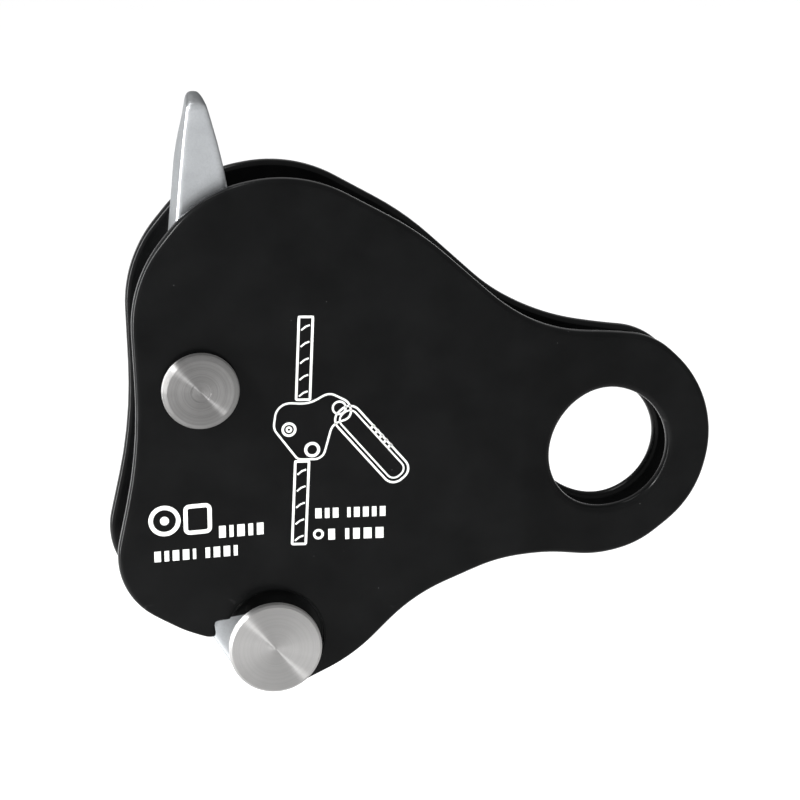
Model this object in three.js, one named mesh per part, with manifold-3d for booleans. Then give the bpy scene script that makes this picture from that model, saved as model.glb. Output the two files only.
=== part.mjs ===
// Swing-cheek rope ascender: two joggled cheek plates riveted on one pivot, a cast rope shoe between
// them, and a lock axle with a turned knob that keeps the front cheek closed over the rope.
// Units are millimetres. X runs from the pivot towards the carabiner eye, +Z is up along the rope,
// and -Y is the front, where the knob is. The layout is drawn from the pivot axis, and the finished
// group is shifted so that the origin lies at the centre of the carabiner eye.
import * as THREE from 'three';
import { mergeVertices } from 'three/addons/utils/BufferGeometryUtils.js';
import Module from 'manifold-3d';

const wasm = await Module();
wasm.setup();

// ---- driving dimensions -------------------------------------------------------------------------
const GAP = 0.3;                 // running and assembly clearance between neighbouring pieces
const PLATE = 3;                 // thickness of a cheek plate
const INNER = 8;                 // from the middle plane to a plate's inner face
const OUTER = INNER + PLATE;     // from the middle plane to a plate's outer face

const EYE = { x: 83.5, z: -18, r: 12.7 };
const LOCK = { x: 13.6, z: -53.3 };            // axis of the lock axle, seen from the pivot
const LOCK_RADIUS = Math.hypot(LOCK.x, LOCK.z);
const OPEN = THREE.MathUtils.degToRad(0.6);    // the unlatched front cheek rests this far open

const JOGGLE = { from: 64, to: 87, depth: 4.3, steps: 8 };  // both plates step inwards to the eye

// Corners of a cheek plate's outline: x, z and the radius that rounds the corner. They are drawn
// where the open front cheek rests, so the blank is turned back by OPEN to line up with the rear.
const CHEEK = [
  [-13.3, 21.6, 27.3], [1.0, 39.1, 24.9], [20.9, 42.5, 28.0], [43.9, 29.6, 60.6],
  [67.2, 8.4, 38.5], [93.2, 5.2, 14.7], [107.9, -8.7, 23.6], [102.4, -30.2, 21.7],
  [86.9, -42.3, 19.4], [64.6, -37.4, 31.0], [42.9, -46.1, 34.8], [30.5, -58.2, 34.6],
  [18.2, -64.0, 8.8], [8.7, -65.7, 10.3], [1.1, -52.7, 1.5], [-4.1, -50.7, 20.6],
  [-18.9, -42.0, 14.4], [-12.2, -11.7, 97.2],
];
const OUTLINE_STEP = 9;          // degrees of arc between points of the outline

const PIN = { shank: 3.2, head: 7.65, headHeight: 1.7, tail: 6, tailHeight: 1.8 };
const SLEEVE = { inner: PIN.shank + GAP, outer: 4.5 };
const WASHER = { inner: SLEEVE.outer + GAP, outer: 8.5, thick: 0.5 };
const HEAD_WASHER = { outer: 7, thick: 0.5 };
const TAIL_WASHER = { outer: 7.6, thick: 1 };

const STUD = { neck: 2.1, core: 3, tail: 5.4, tailHeight: 1.6, tip: 13.3 };
const ANVIL = { inner: STUD.core + GAP, outer: 4.5 };
const KNOB = { r: 9.35, disc: 2.2, thick: 4.35, standOff: 1.9, chamfer: 0.4, cap: 1.05 };
const HUB = 6.6;                               // radius of the knob behind its disc
const COLLAR = { r: 4.4, height: 1.8 };        // under the knob, wider than the slot's gate
const RING = { inner: STUD.neck + GAP, outer: 3.4, long: 1.4 };

const SLOT = { half: 5.9, gate: 2.5, mouth: 1.3, hook: 10.8 };  // half width, foot gap, end planes
const SEAT = { r: 9.8, deep: 1, flare: 0.4 };                 // dished seat under the knob

const SHOE = { half: INNER - 2 * GAP - WASHER.thick, edge: 0.7 };
const EAR = 8.6;                 // radius of the shoe's ears round the pivot
const GROOVE = { x: 15, r: 6.5 };  // rope groove: the axis and the radius of a 13 mm rope
const POCKET = { x: 6.3, half: 4.4, top: 22, bottom: -44 };
const SPRING = { r: 5.4, wire: 0.45, turns: 4.3, half: 3.2, leg: 22 };
const HOOK = { x: -9.85, z: 2.65, r: 0.8 };  // where the spring's end sits in the rear cheek

// ---- finishes -----------------------------------------------------------------------------------
const finish = (color, roughness, metalness) =>
  new THREE.MeshStandardMaterial({ color, roughness, metalness });
const BLACK = () => finish(0x141416, 0.3, 0.6);
const STEEL = () => finish(0xb9bbbc, 0.32, 1);
const CAST = () => finish(0xb4bdbf, 0.45, 1);
const WIRE = () => finish(0x8c8f92, 0.35, 1);
const NYLON = () => finish(0xe6e3d8, 0.6, 0);

// ---- shape helpers ------------------------------------------------------------------------------
// A point's corner rounded with a tangent arc, as the arc's points.
function roundCorner(before, corner, after, radius, stepDegrees) {
  const toBefore = before.clone().sub(corner).normalize();
  const toAfter = after.clone().sub(corner).normalize();
  const half = Math.acos(THREE.MathUtils.clamp(toBefore.dot(toAfter), -1, 1)) / 2;
  const tangent = radius / Math.tan(half);
  const start = corner.clone().addScaledVector(toBefore, tangent);
  const end = corner.clone().addScaledVector(toAfter, tangent);
  const bisector = toBefore.clone().add(toAfter).normalize();
  const centre = corner.clone().addScaledVector(bisector, radius / Math.sin(half));
  const from = Math.atan2(start.y - centre.y, start.x - centre.x);
  const to = Math.atan2(end.y - centre.y, end.x - centre.x);
  const sweep = Math.atan2(Math.sin(to - from), Math.cos(to - from));
  const steps = Math.max(2, Math.ceil(Math.abs(THREE.MathUtils.radToDeg(sweep)) / stepDegrees));
  const points = [];
  for (let i = 0; i <= steps; i++) {
    const angle = from + (sweep * i) / steps;
    points.push(new THREE.Vector2(
      centre.x + radius * Math.cos(angle),
      centre.y + radius * Math.sin(angle),
    ));
  }
  return points;
}

// A closed outline from corners given as [x, z, radius]; a corner without a radius stays sharp.
function roundedShape(corners, stepDegrees = OUTLINE_STEP) {
  const points = corners.map(([x, z]) => new THREE.Vector2(x, z));
  const outline = [];
  corners.forEach(([, , radius], i) => {
    const before = points[(i + points.length - 1) % points.length];
    const after = points[(i + 1) % points.length];
    if (radius) outline.push(...roundCorner(before, points[i], after, radius, stepDegrees));
    else outline.push(points[i]);
  });
  return new THREE.Shape(outline);
}

function circleShape(x, z, radius, segments = 48) {
  const shape = new THREE.Shape();
  const step = (2 * Math.PI) / segments;
  for (let i = 0; i < segments; i++) {
    const px = x + radius * Math.cos(i * step);
    const pz = z + radius * Math.sin(i * step);
    if (i === 0) shape.moveTo(px, pz);
    else shape.lineTo(px, pz);
  }
  return shape;
}

// A prism of an XZ shape between two Y planes, with optional rounded front and back edges.
function prism(shape, yFrom, yTo, edge = 0) {
  const geometry = new THREE.ExtrudeGeometry(shape, {
    depth: yTo - yFrom - 2 * edge,
    bevelEnabled: edge > 0,
    bevelSize: edge,
    bevelThickness: edge,
    bevelOffset: -edge,
    bevelSegments: 3,
    curveSegments: 12,
  });
  geometry.rotateX(Math.PI / 2);
  geometry.translate(0, yTo - edge, 0);
  return geometry;
}

// A body turned about a Y axis through (x, z), from [radius, y] pairs given with y rising.
function turned(profile, x = 0, z = 0, segments = 40) {
  const points = profile.map(([radius, y]) => new THREE.Vector2(radius, y));
  const geometry = new THREE.LatheGeometry(points, segments);
  geometry.translate(x, 0, z);
  return geometry;
}

function tube(inner, outer, yFrom, yTo, x = 0, z = 0, segments = 40) {
  const profile = [[inner, yFrom], [outer, yFrom], [outer, yTo], [inner, yTo], [inner, yFrom]];
  return turned(profile, x, z, segments);
}

function toSolid(geometry) {
  const bare = geometry.clone();
  bare.deleteAttribute('normal');
  bare.deleteAttribute('uv');
  const merged = mergeVertices(bare, 1e-4);
  const mesh = new wasm.Mesh({
    numProp: 3,
    vertProperties: new Float32Array(merged.attributes.position.array),
    triVerts: new Uint32Array(merged.index.array),
  });
  return new wasm.Manifold(mesh);
}

function toGeometry(solid) {
  const mesh = solid.getMesh();
  const geometry = new THREE.BufferGeometry();
  geometry.setAttribute('position', new THREE.BufferAttribute(mesh.vertProperties, 3));
  geometry.setIndex(new THREE.BufferAttribute(mesh.triVerts, 1));
  geometry.computeVertexNormals();
  return geometry;
}

function cut(blank, ...tools) {
  let solid = blank;
  for (const tool of tools) solid = solid.subtract(toSolid(tool));
  return solid;
}

const assembly = new THREE.Group();

function addPiece(name, geometry, material) {
  const mesh = new THREE.Mesh(geometry, material);
  mesh.name = name;
  assembly.add(mesh);
  return mesh;
}

// ---- cheek plates -------------------------------------------------------------------------------
// The plate's thickness as a band seen from above, stepping towards the middle plane at the eye.
function plateBand(side) {
  const near = [];
  const far = [];
  const push = (x, drop) => {
    near.push(new THREE.Vector2(x, side * (INNER - drop)));
    far.unshift(new THREE.Vector2(x, side * (OUTER - drop)));
  };
  push(-60, 0);
  for (let i = 0; i <= JOGGLE.steps; i++) {
    const t = i / JOGGLE.steps;
    push(JOGGLE.from + (JOGGLE.to - JOGGLE.from) * t, JOGGLE.depth * t * t * (3 - 2 * t));
  }
  push(130, JOGGLE.depth);
  const band = new THREE.ExtrudeGeometry(new THREE.Shape([...near, ...far]), {
    depth: 160,
    bevelEnabled: false,
  });
  band.translate(0, 0, -90);
  return band;
}

function cheekPlate(side) {
  const blank = prism(roundedShape(CHEEK), -30, 30);
  const band = plateBand(side);
  const eye = prism(circleShape(EYE.x, EYE.z, EYE.r, 56), -31, 31);
  const pivotHole = prism(circleShape(0, 0, PIN.shank + GAP, 32), -31, 31);
  for (const geometry of [blank, band, eye]) geometry.rotateY(OPEN);
  return toSolid(blank).intersect(toSolid(band))
    .subtract(toSolid(eye))
    .subtract(toSolid(pivotHole));
}

// The open slot that lets the front cheek swing on and off the lock axle. It follows an arc about
// the pivot, wide enough for the knob's collar, and ends round behind the axle. A foot at its mouth
// comes down to the gate and only lets the bare neck of the stud pass.
function latchSlot() {
  const points = [];
  const arc = (radius, from, to, steps) => {
    for (let i = 0; i <= steps; i++) {
      const angle = from + ((to - from) * i) / steps;
      points.push(new THREE.Vector2(radius * Math.cos(angle), radius * Math.sin(angle)));
    }
  };
  const angleAt = (x, radius) => -Math.PI / 2 + Math.asin(x / radius);
  const lockAngle = Math.atan2(LOCK.z, LOCK.x);
  const roof = LOCK_RADIUS - SLOT.half;
  const floor = LOCK_RADIUS + SLOT.half;
  arc(roof, angleAt(SLOT.mouth, roof), lockAngle, 6);
  for (let i = 1; i < 12; i++) {
    const angle = lockAngle + Math.PI - (Math.PI * i) / 12;
    points.push(new THREE.Vector2(
      LOCK.x + SLOT.half * Math.cos(angle),
      LOCK.z + SLOT.half * Math.sin(angle),
    ));
  }
  arc(floor, lockAngle, angleAt(SLOT.hook, floor), 2);
  points.push(new THREE.Vector2(SLOT.hook, -floor - 12));
  points.push(new THREE.Vector2(SLOT.mouth - 4, -floor - 12));
  points.push(new THREE.Vector2(SLOT.mouth - 4, -LOCK_RADIUS + SLOT.gate));
  points.push(new THREE.Vector2(SLOT.mouth + 0.5, -LOCK_RADIUS + SLOT.gate));
  return new THREE.Shape(points.reverse());
}

const slotTool = prism(latchSlot(), -31, 0);
const seatTool = turned([
  [0, -20],
  [SEAT.r + SEAT.flare, -20],
  [SEAT.r + SEAT.flare, -OUTER],
  [SEAT.r, -OUTER + SEAT.deep],
  [0, -OUTER + SEAT.deep],
], LOCK.x, LOCK.z, 48);
const frontCheek = cheekPlate(-1).subtract(toSolid(slotTool)).subtract(toSolid(seatTool));
const frontPlate = addPiece('front_plate', toGeometry(frontCheek), BLACK());
frontPlate.rotation.y = -OPEN;

const axleHole = prism(circleShape(LOCK.x, LOCK.z, STUD.core + GAP, 32), -31, 31);
const hookHole = prism(circleShape(HOOK.x, HOOK.z, HOOK.r, 16), -31, 31);
const rearCheek = cheekPlate(1).subtract(toSolid(axleHole)).subtract(toSolid(hookHole));
addPiece('rear_plate', toGeometry(rearCheek), BLACK());

// ---- pivot --------------------------------------------------------------------------------------
const headUnder = -(OUTER + 2 * GAP + HEAD_WASHER.thick);
const headTop = headUnder - PIN.headHeight;
const tailUnder = OUTER + 2 * GAP + TAIL_WASHER.thick;
const tailTop = tailUnder + PIN.tailHeight;
addPiece('pivot_pin', turned([
  [0, headTop],
  [PIN.head - 0.5, headTop],
  [PIN.head - 0.15, headTop + 0.15],
  [PIN.head, headTop + 0.5],
  [PIN.head, headUnder],
  [PIN.shank, headUnder],
  [PIN.shank, tailUnder],
  [PIN.tail, tailUnder],
  [PIN.tail - 0.4, tailUnder + PIN.tailHeight * 0.6],
  [PIN.tail - 2, tailTop],
  [0, tailTop],
]), STEEL());

const sleeveHalf = INNER - GAP;
addPiece('pivot_sleeve', tube(SLEEVE.inner, SLEEVE.outer, -sleeveHalf, sleeveHalf), STEEL());

const headWasherInner = -(OUTER + GAP);
addPiece('pivot_front_washer', tube(
  PIN.shank + GAP, HEAD_WASHER.outer, headWasherInner - HEAD_WASHER.thick, headWasherInner,
), STEEL());
addPiece('pivot_rear_washer', tube(
  PIN.shank + GAP, TAIL_WASHER.outer, OUTER + GAP, OUTER + GAP + TAIL_WASHER.thick,
), STEEL());
for (const [name, side] of [['front', -1], ['rear', 1]]) {
  const near = side * sleeveHalf;
  const far = side * (sleeveHalf - WASHER.thick);
  addPiece(
    `thrust_washer_${name}`,
    tube(WASHER.inner, WASHER.outer, Math.min(near, far), Math.max(near, far)),
    NYLON(),
  );
}

// ---- rope shoe ----------------------------------------------------------------------------------
// Side outline: a tapered horn above, ears round the pivot, a flanged rope groove facing the eye,
// and a solid heel that rests against the anvil when no rope is in the device.
const SHOE_OUTLINE = [
  [-1.0, 56.85, 1.3], [2.9, 56.85, 1.3], [3.9, 52.7, 14], [5.8, 44.2, 30], [7.0, 37.6, 20],
  [11, 19, 10], [11, -43, 6], [8.8, -48.6, 6], [8.8, -56, 6], [11.2, -62.6, 1.9],
  [7.0, -62.6, 1.9], [2.2, -54.6, 6], [-5.4, -40, 8], [-EAR, -8, 8], [-EAR, 8, 10],
  [-4.2, 27, 12], [-2.75, 41.5, 30], [-1.8, 50, 20],
];
const shoeBlank = prism(roundedShape(SHOE_OUTLINE, 18), -SHOE.half, SHOE.half, SHOE.edge);

// Side view of the same casting, as y and z: the horn's tip is crowned and bevelled behind.
const SHOE_SIDE = [
  [8, -80], [-8, -80], [-8, 54.9], [-4.6, 56.6], [-1.2, 57.6], [1.2, 57.4], [3.2, 54.6], [8, 45.4],
];
const shoeSide = new THREE.ExtrudeGeometry(roundedShape(SHOE_SIDE), {
  depth: 60,
  bevelEnabled: false,
});
shoeSide.rotateX(Math.PI / 2);
shoeSide.rotateZ(Math.PI / 2);
shoeSide.translate(-30, 0, 0);
const earBore = prism(circleShape(0, 0, WASHER.inner, 32), -20, 20);

const grooveTool = new THREE.CylinderGeometry(GROOVE.r, GROOVE.r, 160, 32);
grooveTool.rotateX(Math.PI / 2);
grooveTool.translate(GROOVE.x, 0, 0);

const pocketTool = new THREE.BoxGeometry(40, 2 * POCKET.half, POCKET.top - POCKET.bottom);
pocketTool.translate(POCKET.x - 20, 0, (POCKET.top + POCKET.bottom) / 2);

const shoeCasting = toSolid(shoeBlank).intersect(toSolid(shoeSide));
addPiece('shoe', toGeometry(cut(shoeCasting, earBore, grooveTool, pocketTool)), CAST());

// ---- torsion spring -----------------------------------------------------------------------------
// Coil round the sleeve inside the shoe's pocket. One leg presses on the shoe's web below the pivot.
// The other leaves the open side of the pocket and hooks into a small hole in the rear cheek.
function springPath() {
  const points = [];
  for (let i = 0; i < 6; i++) {
    points.push(new THREE.Vector3(SPRING.r, -SPRING.half, -SPRING.leg * (1 - i / 6)));
  }
  const perTurn = 20;
  const total = Math.round(SPRING.turns * perTurn);
  for (let i = 0; i <= total; i++) {
    const angle = (2 * Math.PI * SPRING.turns * i) / total;
    points.push(new THREE.Vector3(
      SPRING.r * Math.cos(angle),
      -SPRING.half + (2 * SPRING.half * i) / total,
      SPRING.r * Math.sin(angle),
    ));
  }
  const last = points[points.length - 1];
  for (let i = 1; i <= 3; i++) {
    const t = (i / 3) * 0.9;
    points.push(new THREE.Vector3(
      last.x + (HOOK.x - last.x) * t,
      last.y,
      last.z + (HOOK.z - last.z) * t,
    ));
  }
  for (const y of [SPRING.half + 0.9, SPRING.half + 3, OUTER - 0.6]) {
    points.push(new THREE.Vector3(HOOK.x, y, HOOK.z));
  }
  return new THREE.CatmullRomCurve3(points, false, 'centripetal');
}

addPiece('shoe_spring', new THREE.ExtrudeGeometry(circleShape(0, 0, SPRING.wire, 8), {
  steps: 150,
  extrudePath: springPath(),
  bevelEnabled: false,
}), WIRE());

// ---- lock axle, anvil and knob ------------------------------------------------------------------
addPiece('lock_axle', turned([
  [0, -STUD.tip],
  [STUD.neck - 0.4, -STUD.tip],
  [STUD.neck, -STUD.tip + 0.4],
  [STUD.neck, -INNER + GAP],
  [STUD.core, -INNER + GAP],
  [STUD.core, OUTER + 2 * GAP + TAIL_WASHER.thick],
  [STUD.tail, OUTER + 2 * GAP + TAIL_WASHER.thick],
  [STUD.tail - 0.4, OUTER + 2 * GAP + TAIL_WASHER.thick + STUD.tailHeight * 0.6],
  [STUD.tail - 2, OUTER + 2 * GAP + TAIL_WASHER.thick + STUD.tailHeight],
  [0, OUTER + 2 * GAP + TAIL_WASHER.thick + STUD.tailHeight],
], LOCK.x, LOCK.z, 32), STEEL());
addPiece('anvil_sleeve', tube(ANVIL.inner, ANVIL.outer, -sleeveHalf, sleeveHalf, LOCK.x, LOCK.z), STEEL());
addPiece('axle_rear_washer', tube(
  STUD.core + GAP, TAIL_WASHER.outer, OUTER + GAP, OUTER + GAP + TAIL_WASHER.thick, LOCK.x, LOCK.z,
), STEEL());

const knobUnder = -(OUTER + KNOB.standOff);
const knobTop = knobUnder - KNOB.thick;
const discUnder = knobTop + KNOB.disc;
const collarEnd = knobUnder + COLLAR.height;
const boreTop = knobTop + KNOB.cap;
const ringFrom = collarEnd - 0.2 - RING.long;
addPiece('lock_knob', turned([
  [0, knobTop],
  [KNOB.r - KNOB.chamfer, knobTop],
  [KNOB.r, knobTop + KNOB.chamfer],
  [KNOB.r, discUnder - KNOB.chamfer],
  [KNOB.r - KNOB.chamfer, discUnder],
  [HUB, discUnder],
  [HUB, knobUnder],
  [COLLAR.r, knobUnder],
  [COLLAR.r, collarEnd],
  [RING.outer + GAP, collarEnd],
  [RING.outer + GAP, ringFrom - GAP],
  [RING.inner, ringFrom - GAP],
  [RING.inner, boreTop],
  [0, boreTop],
], LOCK.x, LOCK.z, 56), STEEL());
addPiece('knob_friction_ring', tube(
  RING.inner, RING.outer, ringFrom, ringFrom + RING.long, LOCK.x, LOCK.z, 28,
), NYLON());

assembly.position.set(-EYE.x, 0, -EYE.z);
const group = new THREE.Group();
group.add(assembly);

export default group;
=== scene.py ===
"""Looks of the rope ascender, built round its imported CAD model.

Lengths in the tables are millimetres from the pivot axis: x towards the carabiner eye, z up, and y
from the middle plane, negative at the front. row() turns them into the model's metres.
"""
import math

import bpy
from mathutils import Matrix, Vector
from mathutils.geometry import delaunay_2d_cdt
from mathutils.kdtree import KDTree


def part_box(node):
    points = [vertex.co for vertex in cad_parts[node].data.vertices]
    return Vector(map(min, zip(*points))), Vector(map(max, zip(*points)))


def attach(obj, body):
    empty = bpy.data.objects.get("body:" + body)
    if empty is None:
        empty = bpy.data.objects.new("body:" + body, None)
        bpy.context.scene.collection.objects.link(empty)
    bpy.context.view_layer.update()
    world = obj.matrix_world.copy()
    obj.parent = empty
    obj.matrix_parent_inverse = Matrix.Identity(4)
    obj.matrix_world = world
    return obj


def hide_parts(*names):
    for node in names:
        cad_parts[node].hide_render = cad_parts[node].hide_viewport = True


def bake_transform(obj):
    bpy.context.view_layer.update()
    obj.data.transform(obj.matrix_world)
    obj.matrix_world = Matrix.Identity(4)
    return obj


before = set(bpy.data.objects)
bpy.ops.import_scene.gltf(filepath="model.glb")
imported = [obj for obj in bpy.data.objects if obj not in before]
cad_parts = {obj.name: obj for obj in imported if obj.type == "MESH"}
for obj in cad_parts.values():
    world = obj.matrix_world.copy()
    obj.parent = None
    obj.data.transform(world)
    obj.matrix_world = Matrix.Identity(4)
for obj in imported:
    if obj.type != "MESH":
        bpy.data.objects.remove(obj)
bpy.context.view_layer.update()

MM = 0.001

# ---- places taken from the CAD model -------------------------------------------------------------


def centre_of(node):
    low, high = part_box(node)
    return (low + high) / 2


def y_span(node):
    """Lowest and highest y of a CAD node, in millimetres."""
    low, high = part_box(node)
    return low.y / MM, high.y / MM


def radius_of(node):
    low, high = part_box(node)
    return (high.x - low.x) / 2 / MM


PIVOT = centre_of("pivot_pin")
LOCK_AT = centre_of("lock_knob")
LOCK = ((LOCK_AT.x - PIVOT.x) / MM, (LOCK_AT.z - PIVOT.z) / MM)
LOCK_RADIUS = math.hypot(*LOCK)
OUTER = y_span("rear_plate")[1]
PLATE = 3.0
INNER = OUTER - PLATE
OPEN = math.radians(0.6)            # how far open the front cheek rests


def row(x, y, z):
    return Vector((PIVOT.x + x * MM, y * MM, PIVOT.z + z * MM))


# ---- shapes of the pieces ------------------------------------------------------------------------

EYE = (83.5, -18.0, 12.7)           # centre and radius of the carabiner eye
JOGGLE = (64.0, 87.0, 4.3)          # from x, to x, step towards the middle plane
CHEEK = [                           # outline of a cheek: corners as x, z and rounding radius
    (-13.3, 21.6, 27.3), (1.0, 39.1, 24.9), (20.9, 42.5, 28.0), (43.9, 29.6, 60.6),
    (67.2, 8.4, 38.5), (93.2, 5.2, 14.7), (107.9, -8.7, 23.6), (102.4, -30.2, 21.7),
    (86.9, -42.3, 19.4), (64.6, -37.4, 31.0), (42.9, -46.1, 34.8), (30.5, -58.2, 34.6),
    (18.2, -64.0, 8.8), (8.7, -65.7, 10.3), (1.1, -52.7, 1.5), (-4.1, -50.7, 20.6),
    (-18.9, -42.0, 14.4), (-12.2, -11.7, 97.2),
]
SLOT_EDGE, FULL_EDGE, EYE_EDGE, BORE_EDGE = 0.5, 1.0, 1.3, 0.3    # radii of a cheek's edges
SLOT_MIDDLE = (8, -55)              # the fine edge runs 18 mm round this point, then fills out
SLOT_HALF, SLOT_GATE, SLOT_MOUTH, SLOT_HOOK = 5.9, 2.5, 1.3, 10.8
SEAT_R, SEAT_DEEP, SEAT_FLARE = 9.8, 1.0, 0.4    # the knob's seat: flat radius, depth, wall
SHOE = [                            # outline of the shoe, horn upwards, corners as above
    (-1.0, 56.85, 1.3), (2.9, 56.85, 1.3), (3.9, 52.7, 14), (5.8, 44.2, 30), (7.0, 37.6, 20),
    (11, 19, 10), (11, -43, 6), (8.8, -48.6, 6), (8.8, -56, 6), (11.2, -62.6, 1.9),
    (7.0, -62.6, 1.9), (2.2, -54.6, 6), (-5.4, -40, 8), (-8.6, -8, 8), (-8.6, 8, 10),
    (-4.2, 27, 12), (-2.75, 41.5, 30), (-1.8, 50, 20),
]
SHOE_EDGE = 0.85
SHOE_SIDE = [                       # side view of the shoe, y and z: crowned tip, bevelled behind
    (8, -80), (-8, -80), (-8, 57.6), (1.2, 57.4), (3.2, 54.6), (8, 45.4),
]
SHOE_VOXEL = 0.28                   # size of the cast surface's mesh
HORN_HALF = 6.9                     # half of the horn's thickness
HORN_FOOT, HORN_DRAW = 43, 0.42     # the horn's back narrows above this z, by this share
CROWN_FOOT, CROWN_DROP = 48, 1.4    # the tip's front edge drops away above this z, by this much
GROOVE_X, GROOVE_R = 15, 6.5        # rope groove, for a 13 mm rope
POCKET_X, POCKET_HALF, POCKET_TOP, POCKET_BOTTOM = 6.3, 4.4, 22, -44
SPRING_R, SPRING_WIRE, SPRING_TURNS, SPRING_HALF, SPRING_LEG = 5.4, 0.45, 4.3, 3.2, 22
HOOK = (-9.85, 2.65, 0.8)           # hole in the rear cheek that the spring hooks into
SHANK, SHANK_BORE = 3.2, 3.5        # the rivet's shank, and the bores it passes through
SLEEVE_BORE = 4.8                   # bore of what turns on the rivet's sleeve
STUD_NECK, RING_BORE = 2.1, 2.4     # the stud where the knob turns on it, and the knob's bore
STUD_CORE, STUD_BORE = 3.0, 3.3     # the stud between the cheeks, and the bores it passes through
CLEARANCE = 0.3
DISC, HUB_R, COLLAR_R, COLLAR_HIGH, COLLAR_BORE, CAP = 2.2, 6.6, 4.4, 1.8, 3.7, 1.05    # knob

# ---- outlines ------------------------------------------------------------------------------------


def turn(point, angle):
    """A point of the x-z plane turned about the pivot, by the right-hand rule about +Y."""
    x, z = point
    return (x * math.cos(angle) + z * math.sin(angle), z * math.cos(angle) - x * math.sin(angle))


def corner_arc(before, corner, after, radius, step):
    a, p, b = Vector(before), Vector(corner), Vector(after)
    u = (a - p).normalized()
    w = (b - p).normalized()
    half = math.acos(max(-1.0, min(1.0, u.dot(w)))) / 2
    tangent = radius / math.tan(half)
    start = p + u * tangent
    end = p + w * tangent
    centre = p + (u + w).normalized() * (radius / math.sin(half))
    first = math.atan2(start.y - centre.y, start.x - centre.x)
    last = math.atan2(end.y - centre.y, end.x - centre.x)
    sweep = math.atan2(math.sin(last - first), math.cos(last - first))
    count = max(2, math.ceil(math.degrees(abs(sweep)) / step))
    angles = [first + sweep * i / count for i in range(count + 1)]
    return [(centre.x + radius * math.cos(t), centre.y + radius * math.sin(t)) for t in angles]


def rounded_loop(corners, step=3.0):
    """A closed outline from (x, z, radius) corners."""
    loop = []
    for i, (x, z, radius) in enumerate(corners):
        before = corners[i - 1][:2]
        after = corners[(i + 1) % len(corners)][:2]
        loop += corner_arc(before, (x, z), after, radius, step)
    return loop


def rounded_profile(corners, step=12.0):
    """An open outline from corners, each with an optional rounding radius."""
    path = [tuple(corners[0][:2])]
    for before, here, after in zip(corners, corners[1:], corners[2:]):
        if len(here) > 2:
            path += corner_arc(before[:2], here[:2], after[:2], here[2], step)
        else:
            path.append(tuple(here))
    path.append(tuple(corners[-1][:2]))
    return path


def circle(x, z, radius, count):
    angles = [2 * math.pi * i / count for i in range(count)]
    return [(x + radius * math.cos(t), z + radius * math.sin(t)) for t in angles]


def resampled(loop, spacing):
    """The closed loop with evenly spaced points."""
    points = [Vector(p) for p in loop]
    ends = points[1:] + points[:1]
    lengths = [(b - a).length for a, b in zip(points, ends)]
    total = sum(lengths)
    count = max(8, round(total / spacing))
    result = []
    index, walked = 0, 0.0
    for i in range(count):
        want = total * i / count
        while walked + lengths[index] < want:
            walked += lengths[index]
            index += 1
        t = (want - walked) / lengths[index] if lengths[index] else 0.0
        result.append(tuple(points[index].lerp(ends[index], t)))
    return result


def softened(loop, rounds):
    """The closed loop with its corners eased, by averaging neighbours."""
    for _ in range(rounds):
        count = len(loop)
        loop = [
            tuple(0.25 * loop[i - 1][k] + 0.5 * loop[i][k] + 0.25 * loop[(i + 1) % count][k]
                  for k in range(2))
            for i in range(count)
        ]
    return loop


def inside(point, loop):
    x, z = point
    result = False
    for (ax, az), (bx, bz) in zip(loop, loop[1:] + loop[:1]):
        if (az > z) != (bz > z) and x < (bx - ax) * (z - az) / (bz - az) + ax:
            result = not result
    return result


def signed_area(loop):
    return sum(a[0] * b[1] - b[0] * a[1] for a, b in zip(loop, loop[1:] + loop[:1])) / 2


def crossing(a, b, loop):
    """Where segment a-b crosses the loop, and the loop's segment it crosses."""
    a, b = Vector(a), Vector(b)
    for i, (c, d) in enumerate(zip(loop, loop[1:] + loop[:1])):
        c, d = Vector(c), Vector(d)
        r, s = b - a, d - c
        cross = r.x * s.y - r.y * s.x
        if abs(cross) < 1e-12:
            continue
        t = ((c - a).x * s.y - (c - a).y * s.x) / cross
        u = ((c - a).x * r.y - (c - a).y * r.x) / cross
        if 0 <= t <= 1 and 0 <= u <= 1:
            return tuple(a + r * t), i
    raise ValueError("the segment does not cross the loop")


def notched(loop, tool):
    """The closed loop with one bite of the tool's outline taken out of it."""
    inner = [inside(p, tool) for p in loop]
    count = len(loop)
    start = next(i for i in range(count) if inner[i - 1] and not inner[i])
    ring = [loop[(start + i) % count] for i in range(count)]
    kept = [p for i, p in enumerate(ring) if not inner[(start + i) % count]]
    bite = len(kept)
    first, i = crossing(kept[-1], ring[bite], tool)
    last, j = crossing(ring[-1], kept[0], tool)
    n = len(tool)
    forward = [tool[(i + 1 + k) % n] for k in range((j - i) % n)]
    back = [tool[(i - k) % n] for k in range((i - j) % n)]
    middle = forward if forward and inside(forward[len(forward) // 2], loop) else back
    return kept + [first] + middle + [last]


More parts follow.
